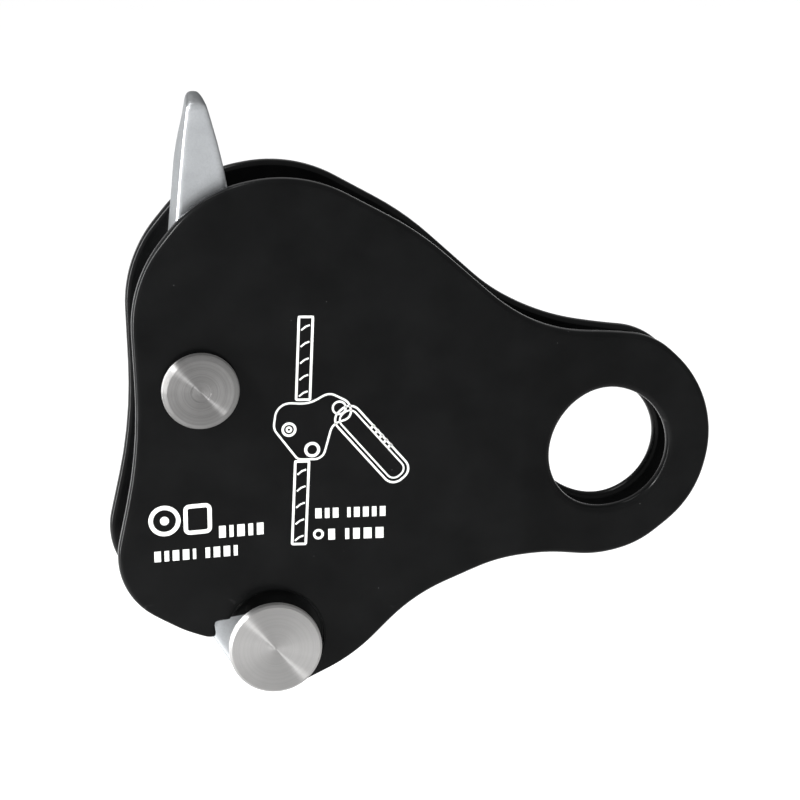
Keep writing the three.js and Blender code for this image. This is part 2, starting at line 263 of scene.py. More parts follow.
def latch_slot():
    """Outline of the open slot that follows an arc about the pivot and ends behind the axle."""
    def arc(radius, first, last, count):
        angles = [first + (last - first) * i / count for i in range(count + 1)]
        return [(radius * math.cos(t), radius * math.sin(t)) for t in angles]

    def angle_at(x, radius):
        return -math.pi / 2 + math.asin(x / radius)

    lock_angle = math.atan2(LOCK[1], LOCK[0])
    roof = LOCK_RADIUS - SLOT_HALF
    floor = LOCK_RADIUS + SLOT_HALF
    points = arc(roof, angle_at(SLOT_MOUTH, roof), lock_angle, 24)
    for i in range(1, 36):
        t = lock_angle + math.pi - math.pi * i / 36
        points.append((LOCK[0] + SLOT_HALF * math.cos(t), LOCK[1] + SLOT_HALF * math.sin(t)))
    points += arc(floor, lock_angle, angle_at(SLOT_HOOK, floor), 8)
    points += [
        (SLOT_HOOK, -floor - 12),
        (SLOT_MOUTH - 4, -floor - 12),
        (SLOT_MOUTH - 4, SLOT_GATE - LOCK_RADIUS),
        (SLOT_MOUTH + 0.5, SLOT_GATE - LOCK_RADIUS),
    ]
    return points


# ---- mesh building -------------------------------------------------------------------------------


def volume(vertices, faces):
    """Signed volume of a closed mesh, positive where its faces look outwards."""
    total = 0.0
    for face in faces:
        a = Vector(vertices[face[0]])
        for i, j in zip(face[1:], face[2:]):
            total += a.dot(Vector(vertices[i]).cross(Vector(vertices[j])))
    return total / 6


def make_object(name, vertices, faces, origin=(0, 0, 0), sharp=40):
    """A mesh object with smooth faces, creases at sharp edges and flats that shade flat."""
    if volume(vertices, faces) < 0:
        faces = [tuple(face)[::-1] for face in faces]
    origin = Vector(origin)
    mesh = bpy.data.meshes.new(name)
    mesh.from_pydata([Vector(v) - origin for v in vertices], [], faces)
    mesh.validate()
    obj = bpy.data.objects.new(name, mesh)
    bpy.context.scene.collection.objects.link(obj)
    obj.location = origin
    return shaded(obj, sharp)


def shaded(obj, sharp=40):
    obj.data.shade_smooth()
    obj.data.set_sharp_from_angle(angle=math.radians(sharp))
    weighted = obj.modifiers.new("flats", "WEIGHTED_NORMAL")
    weighted.keep_sharp = True
    return obj


def place(obj, body, slot, material, *nodes):
    obj.data.materials.clear()
    obj.data.materials.append(material)
    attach(obj, body)
    if nodes:
        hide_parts(*nodes)
    return obj


def evaluated(obj, name):
    """The object with its modifiers made real; the original is removed."""
    bpy.context.view_layer.update()
    graph = bpy.context.evaluated_depsgraph_get()
    mesh = bpy.data.meshes.new_from_object(obj.evaluated_get(graph))
    result = bpy.data.objects.new(name, mesh)
    mesh.name = name
    bpy.context.scene.collection.objects.link(result)
    result.matrix_world = obj.matrix_world
    bpy.data.objects.remove(obj)
    return result


def inset_ring(loop, depths, outward):
    """The loop moved into the material; outward is +1 where the loop bounds it from outside."""
    ring = []
    count = len(loop)
    for i, (x, z) in enumerate(loop):
        ax, az = loop[i - 1]
        bx, bz = loop[(i + 1) % count]
        length = math.hypot(bx - ax, bz - az) or 1.0
        depth = outward * depths[i] / length
        ring.append((x - (bz - az) * depth, z + (bx - ax) * depth))
    return ring


def edge_steps(count=6):
    """(inset, depth) pairs of a rounded edge of radius 1, from the face to the wall."""
    angles = [math.pi / 2 * (1 - i / count) for i in range(count + 1)]
    return [(1 - math.cos(t), 1 - math.sin(t)) for t in angles]


def slab(loops, y_front, y_back, edge, spots):
    """Vertices and faces of a plate bounded by loops, the outer one first, between two surfaces.

    y_front, y_back and the edges' radius are functions of x and z, the radius also of which loop
    it is. spots are extra points for the faces to follow.
    """
    loops = [loop if signed_area(loop) > 0 else loop[::-1] for loop in loops]
    steps = edge_steps()
    vertices, faces = [], []
    rims = {"front": [], "back": []}
    for which, loop in enumerate(loops):
        outward = 1 if which == 0 else -1
        rounding = [edge(x, z, which) for x, z in loop]
        rings = []
        for face, surface, inwards in (("front", y_front, 1), ("back", y_back, -1)):
            order = steps if face == "front" else steps[::-1]
            for inset, depth in order:
                ring = inset_ring(loop, [inset * radius for radius in rounding], outward)
                first = len(vertices)
                vertices += [(x, surface(x, z) + inwards * depth * radius, z)
                             for (x, z), radius in zip(ring, rounding)]
                rings.append(range(first, first + len(ring)))
        rims["front"].append(rings[0])
        rims["back"].append(rings[-1])
        for near, far in zip(rings, rings[1:]):
            count = len(near)
            for i in range(count):
                j = (i + 1) % count
                quad = (far[i], far[j], near[j], near[i])
                faces.append(quad if outward > 0 else quad[::-1])
    for face, surface in (("front", y_front), ("back", y_back)):
        add_cap(vertices, faces, rims[face], surface, spots, face == "front")
    return vertices, faces


def add_cap(vertices, faces, rims, surface, spots, faces_front):
    """Fills one face of a slab between its rims, through the spots that lie on it."""
    outlines = [[(vertices[i][0], vertices[i][2]) for i in rim] for rim in rims]
    flat = [p for outline in outlines for p in outline]
    tree = KDTree(len(flat))
    for i, (x, z) in enumerate(flat):
        tree.insert((x, z, 0), i)
    tree.balance()
    ids = [i for rim in rims for i in rim]
    edges = []
    for rim in rims:
        base = ids.index(rim[0])
        edges += [(base + i, base + (i + 1) % len(rim)) for i in range(len(rim))]
    points = list(flat)
    for x, z, margin in spots:
        near = tree.find((x, z, 0))[2]
        if near > margin and on_face((x, z), outlines):
            ids.append(len(vertices))
            vertices.append((x, surface(x, z), z))
            points.append((x, z))
    coords = [Vector(p) for p in points]
    out, _, triangles, origins, _, _ = delaunay_2d_cdt(coords, edges, [], 0, 1e-7, True)
    for triangle in triangles:
        middle = sum((out[i] for i in triangle), Vector((0, 0))) / 3
        if on_face(tuple(middle), outlines):
            corners = [ids[origins[i][0]] for i in triangle]
            faces.append(corners if faces_front else corners[::-1])


def on_face(point, outlines):
    return inside(point, outlines[0]) and not any(inside(point, o) for o in outlines[1:])


def lathe(name, profile, at, material, body, slot, *nodes, segments=144):
    """A turned piece; profile is (radius, y) points with optional rounding, y rising."""
    path = rounded_profile(profile)
    closed = path[0] == path[-1]
    if closed:
        path = path[:-1]
    vertices, faces, rings = [], [], []
    for radius, y in path:
        if radius < 1e-6:
            rings.append([len(vertices)])
            vertices.append(row(at[0], y, at[1]))
            continue
        first = len(vertices)
        for i in range(segments):
            t = 2 * math.pi * i / segments
            vertices.append(row(at[0] + radius * math.cos(t), y, at[1] + radius * math.sin(t)))
        rings.append(list(range(first, first + segments)))
    pairs = list(zip(rings, rings[1:])) + ([(rings[-1], rings[0])] if closed else [])
    for near, far in pairs:
        for i in range(segments):
            j = (i + 1) % segments
            quad = [near[i % len(near)], near[j % len(near)], far[j % len(far)], far[i % len(far)]]
            face = list(dict.fromkeys(quad))
            if len(face) > 2:
                faces.append(face)
    middle = (profile[0][1] + profile[-1][1]) / 2
    obj = make_object(name, vertices, faces, row(at[0], middle, at[1]), sharp=35)
    return place(obj, body, slot, material, *nodes)


def sweep(name, path, radius, sides=12):
    """A round wire along a path of row-frame points."""
    vertices, faces = [], []
    normal = (path[1] - path[0]).orthogonal().normalized()
    for i, point in enumerate(path):
        along = (path[min(i + 1, len(path) - 1)] - path[max(i - 1, 0)]).normalized()
        normal = (normal - along * normal.dot(along)).normalized()
        other = along.cross(normal)
        for k in range(sides):
            t = 2 * math.pi * k / sides
            vertices.append(point + (normal * math.cos(t) + other * math.sin(t)) * radius)
    for i in range(len(path) - 1):
        for k in range(sides):
            a = i * sides + k
            b = i * sides + (k + 1) % sides
            faces.append((a, b, b + sides, a + sides))
    faces.append(tuple(range(sides))[::-1])
    faces.append(tuple(range(len(vertices) - sides, len(vertices))))
    return make_object(name, vertices, faces)


# ---- materials -----------------------------------------------------------------------------------


class Finish:
    """A Principled material and short calls for the nodes that feed it."""

    def __init__(self, name, **values):
        self.material = bpy.data.materials.new(name)
        self.material.use_nodes = True
        self.tree = self.material.node_tree
        self.shader = self.tree.nodes["Principled BSDF"]
        for key, value in values.items():
            self.shader.inputs[key.replace("_", " ")].default_value = value
        self.coords = self.tree.nodes.new("ShaderNodeTexCoord").outputs["Object"]

    def node(self, kind, inputs=(), **settings):
        node = self.tree.nodes.new(kind)
        for key, value in settings.items():
            setattr(node, key, value)
        for key, value in dict(inputs).items():
            self.feed(node.inputs[key], value)
        return node

    def feed(self, socket, value):
        if isinstance(value, bpy.types.NodeSocket):
            self.tree.links.new(value, socket)
        else:
            socket.default_value = value

    def noise(self, size, detail=3.0, roughness=0.5, vector=None):
        """Noise with features of about this many millimetres."""
        inputs = {"Vector": vector or self.coords, "Scale": 1 / (size * MM), "Detail": detail,
                  "Roughness": roughness}
        return self.node("ShaderNodeTexNoise", inputs).outputs["Fac"]

    def stretched(self, x, y, z):
        inputs = {"Vector": self.coords, "Scale": (x, y, z)}
        return self.node("ShaderNodeMapping", inputs).outputs["Vector"]

    def radius(self):
        """Distance from the piece's y axis, in millimetres."""
        flat = self.node("ShaderNodeVectorMath", {0: self.coords, 1: (1 / MM, 0, 1 / MM)},
                         operation="MULTIPLY").outputs["Vector"]
        return self.node("ShaderNodeVectorMath", {0: flat}, operation="LENGTH").outputs["Value"]

    def rings(self, value, per_mm, detail=2.0):
        inputs = {"W": value, "Scale": per_mm, "Detail": detail, "Roughness": 0.6}
        return self.node("ShaderNodeTexNoise", inputs, noise_dimensions="1D").outputs["Fac"]

    def between(self, value, low, high, start=0.3, end=0.7):
        inputs = {"Value": value, "From Min": start, "From Max": end, "To Min": low,
                  "To Max": high}
        return self.node("ShaderNodeMapRange", inputs).outputs["Result"]

    def math(self, operation, a, b=0.0):
        return self.node("ShaderNodeMath", {0: a, 1: b}, operation=operation).outputs[0]

    def blend(self, factor, a, b):
        node = self.tree.nodes.new("ShaderNodeMix")
        node.data_type = "RGBA"
        sockets = (node.inputs[0], node.inputs[6], node.inputs[7])
        for socket, value in zip(sockets, (factor, a, b)):
            self.feed(socket, value)
        return node.outputs[2]

    def edges(self, low, high):
        """1 along outside edges, 0 on flats."""
        point = self.node("ShaderNodeNewGeometry").outputs["Pointiness"]
        return self.between(point, 0.0, 1.0, low, high)

    def bump(self, *layers):
        """Layers of (height, depth in micrometres), one on top of the other."""
        normal = None
        for height, depth in layers:
            inputs = {"Height": height, "Strength": 1.0, "Distance": depth * 1e-6}
            if normal:
                inputs["Normal"] = normal
            normal = self.node("ShaderNodeBump", inputs).outputs["Normal"]
        self.set(Normal=normal)

    def set(self, **links):
        for key, value in links.items():
            self.feed(self.shader.inputs[key.replace("_", " ")], value)


def grey(value, tint=0.0):
    return (value * (1 - tint), value, value * (1 + tint), 1.0)


def black_anodised():
    f = Finish("black_anodised", Specular_IOR_Level=0.06, Metallic=0.0, IOR=1.5)
    cloud = f.noise(9, 3)
    base = f.blend(f.between(cloud, 0, 1), grey(0.0025, 0.04), grey(0.0045, 0.03))
    specks = f.node("ShaderNodeTexVoronoi", {"Vector": f.coords, "Scale": 1 / (5.5 * MM)})
    dots = f.between(specks.outputs["Distance"], 1.0, 0.0, 0.012, 0.022)
    base = f.blend(f.math("MULTIPLY", dots, 0.35), base, grey(0.18))
    worn = f.math("MULTIPLY", f.edges(0.53, 0.62), f.between(f.noise(1.6, 4), 0, 0.5, 0.5, 0.7))
    base = f.blend(worn, base, grey(0.03))
    smudge = f.between(f.noise(14, 4, 0.6), 0.15, 0.24)
    fine = f.between(f.noise(0.5, 2), -0.02, 0.03)
    f.set(Base_Color=base, Roughness=f.math("ADD", smudge, fine))
    f.bump((f.noise(2.6, 2), 9), (f.noise(0.22, 2), 1.2))
    return f.material


def turned_steel(name, tone, spread, roughness, groove, coarse=0.0):
    """Steel with concentric tool marks about the piece's own axis."""
    f = Finish(name, Metallic=1.0, Anisotropic=1.0, Anisotropic_Rotation=0.25)
    r = f.radius()
    fine = f.rings(r, 7.0)
    wide = f.rings(r, 1.1)
    patch = f.noise(3.5, 3)
    shade = f.math("ADD", f.math("MULTIPLY", fine, 0.55), f.math("MULTIPLY", wide, 0.45))
    base = f.blend(f.between(shade, 0, 1, 0.35, 0.65), grey(tone - spread, -0.01),
                   grey(tone + spread, -0.012))
    base = f.blend(f.between(patch, 0.0, 0.25, 0.4, 0.7), base, grey(tone - 1.5 * spread, -0.02))
    f.set(Base_Color=base, Roughness=f.between(fine, roughness - 0.05, roughness + 0.06))
    layers = [(fine, groove), (f.noise(0.12, 2), 0.6)]
    if coarse:
        layers.append((wide, coarse))
    f.bump(*layers)
    tangent = f.node("ShaderNodeTangent", direction_type="RADIAL", axis="Y")
    f.set(Tangent=tangent.outputs["Tangent"])
    return f.material


def cast_steel():
    f = Finish("cast_steel", Metallic=1.0, Specular_Tint=(0.55, 0.57, 0.58, 1))
    blotch = f.noise(4.5, 4, 0.6)
    grain = f.noise(0.35, 3, 0.6)
    base = f.blend(f.between(blotch, 0, 1), grey(0.38, 0.035), grey(0.45, 0.03))
    base = f.blend(f.between(grain, 0, 0.35, 0.45, 0.75), base, grey(0.31, 0.03))
    base = f.blend(f.math("MULTIPLY", f.edges(0.52, 0.58), 0.5), base, grey(0.66, 0.01))
    # painted shade: the sides facing up, down and along x get a darker base than the front and back
    # faces, by the normal's direction
    normal = f.node("ShaderNodeTexCoord").outputs["Normal"]
    facing_for_painted_shade = f.math("ABSOLUTE", f.node("ShaderNodeSeparateXYZ", {0: normal}).outputs["Y"])
    base = f.blend(f.between(facing_for_painted_shade, 0.45, 0.0, 0.5, 0.95), base, grey(0.15, 0.01))
    f.set(Base_Color=base, Roughness=f.between(grain, 0.36, 0.50))
    f.bump((f.noise(2.8, 3), 14), (grain, 7), (f.noise(0.1, 2), 1.5))
    return f.material


def spring_wire():
    f = Finish("spring_wire", Metallic=1.0)
    drawn = f.noise(0.5, 3, 0.5, f.stretched(1, 0.15, 1))
    f.set(Base_Color=f.blend(drawn, grey(0.30), grey(0.48)),
          Roughness=f.between(drawn, 0.24, 0.4))
    f.bump((f.noise(0.15, 2), 1.5))
    return f.material


def nylon():
    f = Finish("nylon", Subsurface_Weight=0.1, IOR=1.53)
    f.shader.inputs["Subsurface Radius"].default_value = (MM, MM, 0.7 * MM)
    cloud = f.noise(2.2, 4)
    f.set(Base_Color=f.blend(f.between(cloud, 0, 1), (0.74, 0.71, 0.62, 1), (0.84, 0.82, 0.75, 1)),
          Roughness=f.between(f.noise(0.4, 2), 0.45, 0.6))
    f.bump((f.noise(0.3, 3), 3))
    return f.material


def white_ink():
    f = Finish("white_ink", Specular_IOR_Level=0.4)
    wear = f.between(f.noise(0.35, 4, 0.65), 0, 1, 0.62, 0.74)
    base = f.blend(f.between(f.noise(2.0, 2), 0, 1), (0.70, 0.71, 0.69, 1), (0.84, 0.85, 0.83, 1))
    f.set(Base_Color=f.blend(f.math("MULTIPLY", wear, 0.5), base, grey(0.25)),
          Roughness=f.between(f.noise(0.25, 2), 0.42, 0.6))
    f.bump((f.noise(0.2, 3), 4))
    return f.material


def pale_stage(name, tone):
    f = Finish(name, Specular_IOR_Level=0.2)
    cloud = f.noise(120, 2)
    f.set(Base_Color=f.blend(cloud, grey(tone - 0.01), grey(tone + 0.01)), Roughness=0.7)
    return f.material


BLACK = black_anodised()
KNOB_STEEL = turned_steel("knob_steel", 0.30, 0.02, 0.40, 2.0)
RIVET_STEEL = turned_steel("rivet_steel", 0.20, 0.035, 0.42, 3.0, 14)
PLAIN_STEEL = turned_steel("plain_turned_steel", 0.34, 0.04, 0.3, 2.5)
CAST = cast_steel()
WIRE = spring_wire()
NYLON = nylon()
INK = white_ink()

# ---- cheek plates --------------------------------------------------------------------------------


def joggle(x, z):
    """How far a cheek has stepped inwards at this point of the closed blank."""
    along = turn((x, z), -OPEN)[0]
    t = max(0.0, min(1.0, (along - JOGGLE[0]) / (JOGGLE[1] - JOGGLE[0])))
    return JOGGLE[2] * t * t * (3 - 2 * t)


def seat_depth(x, z):
    r = math.hypot(x - LOCK[0], z - LOCK[1])
    t = max(0.0, min(1.0, (r - SEAT_R) / SEAT_FLARE))
    return SEAT_DEEP * (1 - t * t * (3 - 2 * t))


def cheek_spots(with_seat):
    """Points that a cheek's faces run through, each with its least distance to an edge."""
    spots = []
    for i in range(-5, 28):
        for k in range(-17, 12):
            x, z = i * 4.0, k * 4.0
            near_seat = with_seat and abs(math.hypot(x - LOCK[0], z - LOCK[1]) - SEAT_R) < 2.0
            near_joggle = JOGGLE[0] - 2 < x < JOGGLE[1] + 2
            if not near_joggle and not near_seat:
                spots.append((x, z, 1.5))
    for i in range(int(JOGGLE[1] - JOGGLE[0]) + 5):
        for k in range(-26, 9):
            spots.append((JOGGLE[0] - 2 + i + 0.5 * (k % 2), k * 2.0, 0.7))
    if with_seat:
        for step in (-3, 0, 1, 2, 3, 4, 7):
            radius = SEAT_R + SEAT_FLARE * step / 4
            spots += [(x, z, 0.12) for x, z in circle(*LOCK, radius, 150)]
    return spots


def cheek_edge(x, z, which):
    """Radius of a cheek's rounded edge: fuller away from the latch slot, fine in the bores."""
    if which > 1:
        return BORE_EDGE
    if which == 1:
        return EYE_EDGE
    clear = (math.hypot(x - SLOT_MIDDLE[0], z - SLOT_MIDDLE[1]) - 18) / 10
    return SLOT_EDGE + (FULL_EDGE - SLOT_EDGE) * min(1.0, max(0.0, clear))


def cheek(name, body, front):
    side = -1 if front else 1
    outline = [turn(p, OPEN) for p in rounded_loop(CHEEK)]
    if front:
        outline = notched(resampled(outline, 0.5), latch_slot())
    outline = softened(resampled(outline, 0.35), 9 if front else 2)
    eye_x, eye_z = turn(EYE[:2], OPEN)
    loops = [outline, circle(eye_x, eye_z, EYE[2], 200), circle(0, 0, SHANK_BORE, 48)]
    if not front:
        loops += [circle(*LOCK, STUD_BORE, 48), circle(*HOOK, 24)]

    def outer(x, z):
        return side * (OUTER - joggle(x, z)) + (seat_depth(x, z) if front else 0.0)

    def inner(x, z):
        return side * (INNER - joggle(x, z))

    near, far = (outer, inner) if front else (inner, outer)
    vertices, faces = slab(loops, near, far, cheek_edge, cheek_spots(front))
    angle = -OPEN if front else 0.0
    placed = []
    for x, y, z in vertices:
        x, z = turn((x, z), angle)
        placed.append(row(x, y, z))
    obj = make_object(name, placed, faces, sharp=60)
    return place(obj, body, "black_anodised", BLACK, name)


# ---- rope shoe -----------------------------------------------------------------------------------


def cutter(name, vertices, faces):
    mesh = bpy.data.meshes.new(name)
    mesh.from_pydata(vertices, [], faces)
    obj = bpy.data.objects.new(name, mesh)
    bpy.context.scene.collection.objects.link(obj)
    return obj


def rod(name, low, high, radius, count=96):
    """A plain round cutter between two row-frame points."""
    along = (high - low).normalized()
    u = along.orthogonal().normalized()
    w = along.cross(u)
    ring = [u * math.cos(2 * math.pi * i / count) + w * math.sin(2 * math.pi * i / count)
            for i in range(count)]
    vertices = [low + p * radius * MM for p in ring] + [high + p * radius * MM for p in ring]
    faces = [(i, (i + 1) % count, count + (i + 1) % count, count + i) for i in range(count)]
    faces += [tuple(range(count))[::-1], tuple(range(count, 2 * count))]
    return cutter(name, vertices, faces)


def block(name, low, high):
    corners = [(x, y, z) for x in (low.x, high.x) for y in (low.y, high.y) for z in (low.z, high.z)]
    faces = [(0, 1, 3, 2), (4, 6, 7, 5), (0, 4, 5, 1), (2, 3, 7, 6), (0, 2, 6, 4), (1, 5, 7, 3)]
    return cutter(name, corners, faces)


def side_tool(name, corners, x0, x1):
    """A prism along X with its y-z outline given."""
    near = [row(x0, y, z) for y, z in corners]
    far = [row(x1, y, z) for y, z in corners]
    count = len(corners)
    faces = [tuple(range(count)), tuple(range(2 * count - 1, count - 1, -1))]
    faces += [(i, i + count, (i + 1) % count + count, (i + 1) % count) for i in range(count)]
    return cutter(name, near + far, faces)


def taper_horn(obj):
    """Draws the back of the horn in towards its axis near the tip, and rounds the tip's front."""
    for vertex in obj.data.vertices:
        point = obj.matrix_world @ vertex.co - row(0, 0, 0)
        z = point.z / MM
        if z < HORN_FOOT:
            continue
        back = (point.y / MM + HORN_HALF) / (2 * HORN_HALF)     # 0 at the front face, 1 at the back
        draw = HORN_DRAW * ((z - HORN_FOOT) / 12) ** 1.7 * max(0.0, back)
        axis = 2.2 - 0.1 * (z - HORN_FOOT)
        vertex.co.x += (axis * MM - point.x) * draw
        crown = max(0.0, 0.5 - back) / 0.5
        rise = min(1.0, max(0.0, (z - CROWN_FOOT) / 8.85))
        vertex.co.z -= CROWN_DROP * MM * crown ** 2 * rise


def rope_shoe():
    """The cast shoe: cut to shape, remeshed so that its edges soften, and worn at the tip."""
    half = y_span("shoe")[1]
    outline = resampled(rounded_loop(SHOE, 6), 0.5)
    vertices, faces = slab([outline], lambda x, z: -half, lambda x, z: half,
                           lambda x, z, which: SHOE_EDGE, [])
    obj = cutter("shoe_blank", [row(*v) for v in vertices], faces)
    tools = [
        side_tool("shoe_side", SHOE_SIDE, -30, 30),
        rod("ear_bore", row(0, -20, 0), row(0, 20, 0), SLEEVE_BORE),
        rod("rope_groove", row(GROOVE_X, 0, -90), row(GROOVE_X, 0, 90), GROOVE_R),
        block("pocket", row(-40, -POCKET_HALF, POCKET_BOTTOM), row(POCKET_X, POCKET_HALF, POCKET_TOP)),
    ]
    for tool in tools:
        cut = obj.modifiers.new(tool.name, "BOOLEAN")
        cut.operation = "INTERSECT" if tool is tools[0] else "DIFFERENCE"
        cut.solver = "EXACT"
        cut.object = tool
    obj = evaluated(obj, "shoe_casting")
    cast = obj.modifiers.new("cast", "REMESH")
    cast.mode = "VOXEL"
    cast.voxel_size = SHOE_VOXEL * MM
    obj = evaluated(obj, "shoe_voxels")
    taper_horn(obj)
    ease = obj.modifiers.new("ease", "SMOOTH")
    ease.factor = 0.5
    ease.iterations = 5
    tip = obj.vertex_groups.new(name="tip")
    for vertex in obj.data.vertices:
        point = (obj.matrix_world @ vertex.co - row(0, 0, 0)) / MM
        weight = min(1, max(0, (point.z - 42) / 5)) * min(1, max(0, (point.y + 6.2) / 2.5))
        if weight > 0:
            tip.add([vertex.index], weight, "REPLACE")
    worn = obj.modifiers.new("worn_tip", "SMOOTH")
    worn.factor = 0.5
    worn.iterations = 60
    worn.vertex_group = "tip"
    shoe = evaluated(obj, "rope_shoe")
    for tool in tools:
        bpy.data.objects.remove(tool)
    shoe.data.shade_smooth()
    return place(shoe, "shoe", "cast_steel", CAST, "shoe")


# ---- spring --------------------------------------------------------------------------------------


def torsion_spring():
    points = [(SPRING_R, -SPRING_HALF, -SPRING_LEG * (1 - i / 30)) for i in range(30)]
    count = 160
    for i in range(count + 1):
        t = 2 * math.pi * SPRING_TURNS * i / count
        points.append((SPRING_R * math.cos(t), -SPRING_HALF + 2 * SPRING_HALF * i / count,
                       SPRING_R * math.sin(t)))
    x, y, z = points[-1]
    points += [(x + (HOOK[0] - x) * i / 12, y, z + (HOOK[1] - z) * i / 12) for i in range(1, 13)]
    points += [(HOOK[0], y + (OUTER - 0.6 - y) * i / 12, HOOK[1]) for i in range(1, 13)]
    path = [Vector(p) for p in points]
    for _ in range(3):
        eased = [(a + b * 2 + c) / 4 for a, b, c in zip(path, path[1:], path[2:])]
        path = path[:1] + eased + path[-1:]
    obj = sweep("torsion_spring", [row(*p) for p in path], SPRING_WIRE * MM)
    obj.data.materials.append(WIRE)
    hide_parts("shoe_spring")
    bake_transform(obj)


# ---- printed marks -------------------------------------------------------------------------------


class Print:
    """Flat marks of ink on the front cheek's face, gathered into one mesh."""

    THICK = 0.035

    def __init__(self):
        self.vertices = []
        self.faces = []

    def fill(self, loop):
        """A solid patch with this convex outline."""
        if signed_area(loop) < 0:
            loop = loop[::-1]
        first, count = len(self.vertices), len(loop)
        for y in (-OUTER - self.THICK, -OUTER + 0.01):
            self.vertices += [(x, y, z) for x, z in loop]
        self.faces.append(tuple(range(first, first + count)))
        self.faces.append(tuple(range(first + count, first + 2 * count))[::-1])
        for i in range(count):
            j = (i + 1) % count
            self.faces.append((first + j, first + i, first + count + i, first + count + j))

    def band(self, left, right, closed):
        """A strip between two matching paths."""
        count = len(left)
        first = len(self.vertices)
        for y in (-OUTER - self.THICK, -OUTER + 0.01):
            for path in (left, right):
                self.vertices += [(x, y, z) for x, z in path]
        a, b, c, d = (first + k * count for k in range(4))
        for i in range(count if closed else count - 1):
            j = (i + 1) % count
            self.faces += [(a + i, b + i, b + j, a + j), (c + j, d + j, d + i, c + i),
                           (a + j, c + j, c + i, a + i), (b + i, d + i, d + j, b + j)]
        if not closed:
            e = count - 1
            self.faces += [(a, c, d, b), (b + e, d + e, c + e, a + e)]

    def line(self, path, width, closed=False):
        count = len(path)
        left, right = [], []
        for i, (x, z) in enumerate(path):
            ax, az = path[i - 1] if closed or i else path[0]
            bx, bz = path[(i + 1) % count] if closed or i < count - 1 else path[-1]
            length = math.hypot(bx - ax, bz - az)
            nx, nz = -(bz - az) / length * width / 2, (bx - ax) / length * width / 2
            left.append((x + nx, z + nz))
            right.append((x - nx, z - nz))
        self.band(left, right, closed)

    def loop(self, corners, width):
        self.line(resampled(rounded_loop(corners, 10), 0.25), width, closed=True)

    def ring(self, x, z, radius, width):
        self.line(circle(x, z, radius, 40), width, closed=True)

    def words(self, x, z, height, groups, width, gap, slope):
        """A row of plain upright bars in groups, in place of a line of writing."""
        for group in groups:
            for share in group:
                wide = width * share
                end_z = z + slope * wide
                self.fill([(x, z), (x + wide, end_z), (x + wide, end_z + height), (x, z + height)])
                x += wide + gap
                z += slope * (wide + gap)
            x += 1.6 * gap
            z += 1.6 * gap * slope


def rope_mark(ink, top, bottom, width):
    """A rope drawn as a narrow strip with slanting strands."""
    (ax, az), (bx, bz) = top, bottom
    corners = [(ax, az), (ax + width, az - 0.1), (bx + width, bz - 0.1), (bx, bz)]
    ink.line(resampled(corners, 0.25), 0.5, closed=True)
    count = 5
    for i in range(count):
        t = (i + 0.6) / count
        x, z = ax + (bx - ax) * t, az + (bz - az) * t
        ink.line([(x + 0.5, z - 0.7), (x + 0.5 * width, z), (x + width - 0.5, z + 0.3)], 0.34)


PICTURE_BODY = [                    # the device drawn on its own cheek
    (15.2, -3.6, 3.0), (21.6, -4.2, 6.0), (25.6, -2.0, 2.5), (29.6, -4.2, 2.4), (30.2, -7.4, 1.8),
    (26.2, -8.6, 2.6), (24.2, -15.8, 2.2), (19.2, -15.6, 1.4), (14.4, -9.0, 2.6),
]
PICTURE_RINGS = [                   # x, z, radius and width of line
    (17.5, -9.3, 1.25, 0.5), (17.5, -9.3, 0.45, 0.4), (22.1, -13.7, 1.3, 0.6), (27.6, -5.3, 1.3, 0.4),
]
LINK_AT, LINK_ALONG = (28.4, -6.4), (11.4, -13.6)    # the drawn carabiner: its end and direction
SQUARE = [(-3.4, -24.3, 0.8), (1.4, -24.1, 0.8), (1.4, -29.6, 0.8), (-3.4, -29.8, 0.8)]
WORDS = [                           # x, z, height, bars in groups, width, gap and slope
    (3.2, -31.2, 2.5, [(1.0, 0.6, 1.1, 0.7, 1.0)], 1.35, 0.75, 0.03),
    (-9.8, -35.6, 2.2, [(1, 0.7, 1, 1, 0.5), (0.7, 1, 1, 0.6)], 1.3, 0.72, 0.03),
    (22.6, -28.2, 2.1, [(1.1, 0.8, 1.0), (0.6, 1, 1, 0.8, 1)], 1.15, 0.68, -0.02),
    (25.2, -32.9, 2.3, [(1,), (0.6, 1, 1.2, 1.2)], 1.35, 0.8, -0.02),
]


def link_mark(ink):
    """A carabiner drawn as two long loops, with the ribs of its screw sleeve."""
    eye = Vector(LINK_AT)
    along = Vector(LINK_ALONG).normalized()
    across = Vector((-along.y, along.x))
    for start, end, half, width in ((-0.8, 18.6, 2.7, 0.42), (0.1, 17.7, 1.85, 0.34)):
        a, b = eye + along * start, eye + along * end
        corners = [a + across * half, b + across * half, b - across * half, a - across * half]
        ink.loop([(p.x, p.y, half * 0.85) for p in corners], width)
    for i in range(5):
        p = eye + along * (6.2 + 1.35 * i)
        ink.line([tuple(p + across * 1.8), tuple(p + across * 3.0)], 0.55)


def printed_marks():
    """Generic marks: a picture of the device on a rope, two plain signs and rows of bars."""
    ink = Print()
    rope_mark(ink, (19.75, 13.7), (19.0, -3.2), 2.75)
    rope_mark(ink, (18.7, -16.0), (17.85, -33.4), 2.75)
    ink.loop(PICTURE_BODY, 0.4)
    for ring in PICTURE_RINGS:
        ink.ring(*ring)
    link_mark(ink)
    ink.ring(-7.6, -27.0, 2.75, 0.9)
    ink.fill(circle(-7.6, -27.0, 0.9, 24))
    ink.loop(SQUARE, 0.85)
    for words in WORDS[:3]:
        ink.words(*words)
    ink.ring(23.2, -31.6, 0.85, 0.5)
    ink.words(*WORDS[3])
    obj = make_object("printed_marks", [row(*v) for v in ink.vertices], ink.faces)
    place(obj, "front_cheek", "black_anodised", INK)


# ---- turned pieces -------------------------------------------------------------------------------


